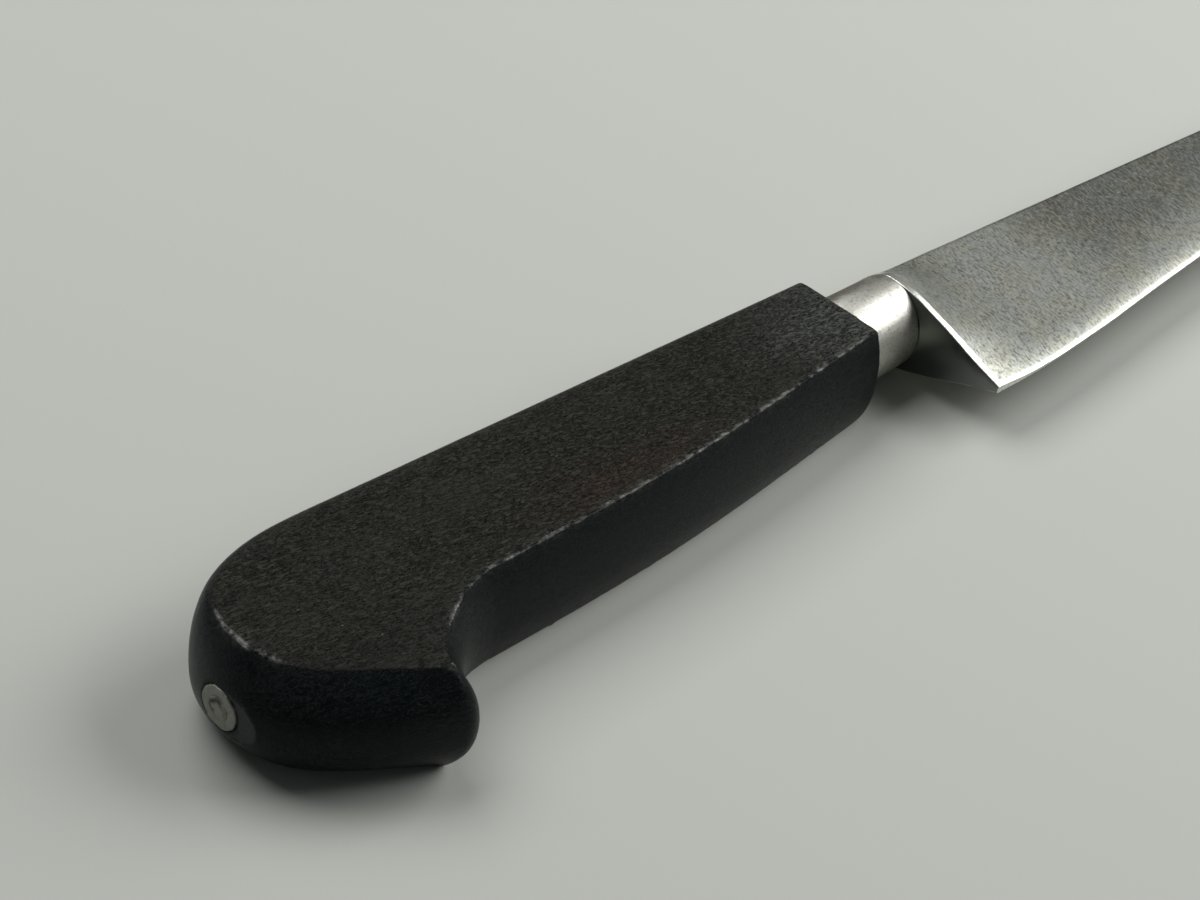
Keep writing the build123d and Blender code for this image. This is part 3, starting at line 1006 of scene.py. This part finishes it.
class KNIFE_OT_butt(bpy.types.Operator):
    """Model the burr let into the butt and the tang peened over it"""
    bl_idname = "knife.butt"
    bl_label = "Burr and tang"

    sides = 64

    # The seam round the tang's end: how much its radius waves four and three times round, how deep it is
    # on the whole, how much that varies round it, and from which turn
    four_lobes = 0.12
    three_lobes = 0.05
    seam_depth = 0.65
    seam_swing = 0.35
    seam_turn = 0.6

    # Shares of the hammer marks and of the seam in the dirt and painted shade, and the rounds over which it
    # spreads
    marks_share = 0.3
    seam_share = 0.8
    dirt_rounds = 4

    def execute(self, context):
        settings = context.scene.knife_burr
        seat, along, reach = tang_line()
        outside = seat - along * settings.thickness / 2
        low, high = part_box("butt_burr")
        burr = self.add_bar("burr_washer", outside, along, (high.z - low.z) / 2, settings.thickness)
        self.hammer(burr, settings, outside, along)
        material = make_burr_material(settings)
        finish_piece(burr, material, "butt_burr")
        end = outside - along * settings.head_height
        neck = settings.thickness + settings.head_height
        head = self.add_bar("peened_head", end, along, settings.tang_radius, neck)
        self.hammer(head, settings, end, along)
        finish_piece(head, material, "blade")
        rod = self.add_bar("tang_rod", seat, along, settings.tang_radius, reach)
        self.taper_rod(rod, seat, along, settings)
        finish_piece(rod, material, "blade")
        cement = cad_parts["tang_cement"].data
        cement.materials.clear()
        cement.materials.append(make_cement_material(settings))
        return {"FINISHED"}

    def add_bar(self, name, outside, along, radius, length):
        """A round bar from its outer end along the tang's line."""
        turn = along.to_track_quat("Z", "Y").to_euler()
        piece = add(
            bpy.ops.mesh.primitive_cylinder_add, name, vertices=self.sides, radius=radius, depth=length,
            location=outside + along * length / 2, rotation=turn,
        )
        bpy.ops.object.transform_apply(location=True, rotation=True, scale=True)
        return piece

    def taper_rod(self, piece, seat, along, settings):
        """Widens the hidden rod towards the heel, wider than it is thick."""
        places = vectors_of(piece, "co")
        start = np.array(seat)
        line = np.array(along)
        distance = (places - start) @ line
        middle = start + np.outer(distance, line)
        share = (distance / distance.max())[:, None]
        growth = np.array((settings.root_width, settings.root_width, settings.root_thickness))
        growth = growth / (2 * settings.tang_radius)
        move_vertices(piece, middle + (places - middle) * (1.0 + share * (growth - 1.0)))

    def hammer(self, piece, settings, outside, along):
        """Rounds a disc's rims, gives it fine faces and presses hammer marks into it."""
        round_rims(piece, settings.rim_rounding)
        apply_modifier(piece, "REMESH", mode="VOXEL", voxel_size=settings.mesh_size, adaptivity=0.0)
        apply_modifier(piece, "SMOOTH", factor=0.5, iterations=2)
        before = vectors_of(piece, "co")
        press_pattern(piece, piece.name + "_marks", settings.hammer_width, settings.hammer_depth)
        places = vectors_of(piece, "co")
        line = np.array(along)
        pressed = (places - before) @ line / settings.hammer_depth
        offset = before - np.array(outside)
        inwards = offset @ line
        from_axis = offset - np.outer(inwards, line)
        turn = np.arctan2(from_axis[:, 2], from_axis[:, 1])
        lobes = self.four_lobes * np.cos(4.0 * turn) + self.three_lobes * np.sin(3.0 * turn)
        off_seam = np.linalg.norm(from_axis, axis=1) - settings.seam_radius * (1.0 + lobes)
        seam = np.exp(-((off_seam / settings.seam_width) ** 2))
        seam *= self.seam_depth + self.seam_swing * np.sin(turn + self.seam_turn)
        move_vertices(piece, places + np.outer(seam * settings.hammer_depth, line))
        # Dirt and painted shade: in the hammer marks, deeper in along the tang's line, and in the seam
        dirt_and_shade = self.marks_share * pressed + inwards / MILLIMETRE + self.seam_share * seam
        keep_attribute(piece, "depth", spread_over(piece, np.clip(dirt_and_shade, 0.0, 1.0), self.dirt_rounds))
        select_only(piece)
        bpy.ops.object.shade_smooth()


# Where each lamp hangs and how large it is, in metres
LAMPS = {
    "key_lamp": ((0.68, -0.28, 0.55), (0.74, 0.52)),
    "side_lamp": ((0.72, 0.30, 0.52), (0.70, 0.50)),
    "top_lamp": ((-0.02, 0.46, 0.75), (0.80, 0.60)),
}


class KNIFE_OT_stage(bpy.types.Operator):
    """Lay the floor, hang the lamps and set the camera"""
    bl_idname = "knife.stage"
    bl_label = "Stage"

    def execute(self, context):
        settings = context.scene.knife_stage
        self.lay_floor(settings)
        self.light_world(context.scene, settings)
        for name, (place, size) in LAMPS.items():
            self.hang_lamp(name, place, size, getattr(settings, name))
        self.set_camera(context.scene, settings)
        context.scene.view_settings.view_transform = "Standard"
        return {"FINISHED"}

    def lay_floor(self, settings):
        """A plain pale floor just under the resting flat."""
        gap = 0.05 * MILLIMETRE
        floor = add(
            bpy.ops.mesh.primitive_plane_add, "floor", size=settings.floor_size,
            location=(0.0, 0.0, -gap),
        )
        paint = Finish("floor_paint")
        paint.shader.inputs["Base Color"].default_value = (*settings.floor_colour, 1.0)
        paint.shader.inputs["Roughness"].default_value = 0.75
        paint.shader.inputs["Specular IOR Level"].default_value = 0.2
        floor.data.materials.append(paint.material)

    def light_world(self, scene, settings):
        """Even soft light from all round."""
        world = bpy.data.worlds.new("studio")
        world.use_nodes = True
        background = world.node_tree.nodes["Background"]
        background.inputs["Color"].default_value = (*settings.world_colour, 1.0)
        background.inputs["Strength"].default_value = settings.world_strength
        scene.world = world

    def hang_lamp(self, name, place, size, power):
        """A large soft lamp that faces the knife."""
        lamp = add(bpy.ops.object.light_add, name, type="AREA", location=place)
        lamp.data.shape = "RECTANGLE"
        lamp.data.size, lamp.data.size_y = size
        lamp.data.energy = power
        lamp.rotation_euler = (-Vector(place)).to_track_quat("-Z", "Y").to_euler()
        lamp.visible_camera = False

    def set_camera(self, scene, settings):
        """The camera where the photographer stood."""
        camera = add(bpy.ops.object.camera_add, "camera", location=settings.camera_place)
        camera.data.lens = settings.lens
        camera.data.clip_start = 0.01
        view = Vector(settings.camera_target) - Vector(settings.camera_place)
        roll = Quaternion((0.0, 0.0, 1.0), settings.camera_roll)
        camera.rotation_euler = (view.to_track_quat("-Z", "Y") @ roll).to_euler()
        scene.camera = camera


class KNIFE_PT_sidebar(bpy.types.Panel):
    """Buttons and sizes of the knife"""
    bl_idname = "KNIFE_PT_sidebar"
    bl_label = "Carving knife"
    bl_space_type = "VIEW_3D"
    bl_region_type = "UI"
    bl_category = "Knife"

    def draw(self, context):
        for operator in OPERATORS:
            self.layout.operator(operator.bl_idname)
        for group in SETTINGS:
            box = self.layout.box()
            settings = getattr(context.scene, group)
            for name in settings.bl_rna.properties.keys():
                if name not in ("rna_type", "name"):
                    box.prop(settings, name)


OPERATORS = (KNIFE_OT_stage, KNIFE_OT_handle, KNIFE_OT_ferrule, KNIFE_OT_blade, KNIFE_OT_butt)
SETTINGS = {
    "knife_handle": HandleSettings,
    "knife_ferrule": FerruleSettings,
    "knife_blade": BladeSettings,
    "knife_burr": BurrSettings,
    "knife_stage": StageSettings,
}


def register():
    for kind in (*SETTINGS.values(), *OPERATORS, KNIFE_PT_sidebar):
        bpy.utils.register_class(kind)
    for name, kind in SETTINGS.items():
        setattr(bpy.types.Scene, name, PointerProperty(type=kind))


def unregister():
    for name in SETTINGS:
        delattr(bpy.types.Scene, name)
    for kind in (KNIFE_PT_sidebar, *OPERATORS, *SETTINGS.values()):
        bpy.utils.unregister_class(kind)


def main():
    register()
    bpy.ops.knife.stage()
    bpy.ops.knife.handle()
    bpy.ops.knife.ferrule()
    bpy.ops.knife.blade()
    bpy.ops.knife.butt()


if __name__ == "__main__":
    main()
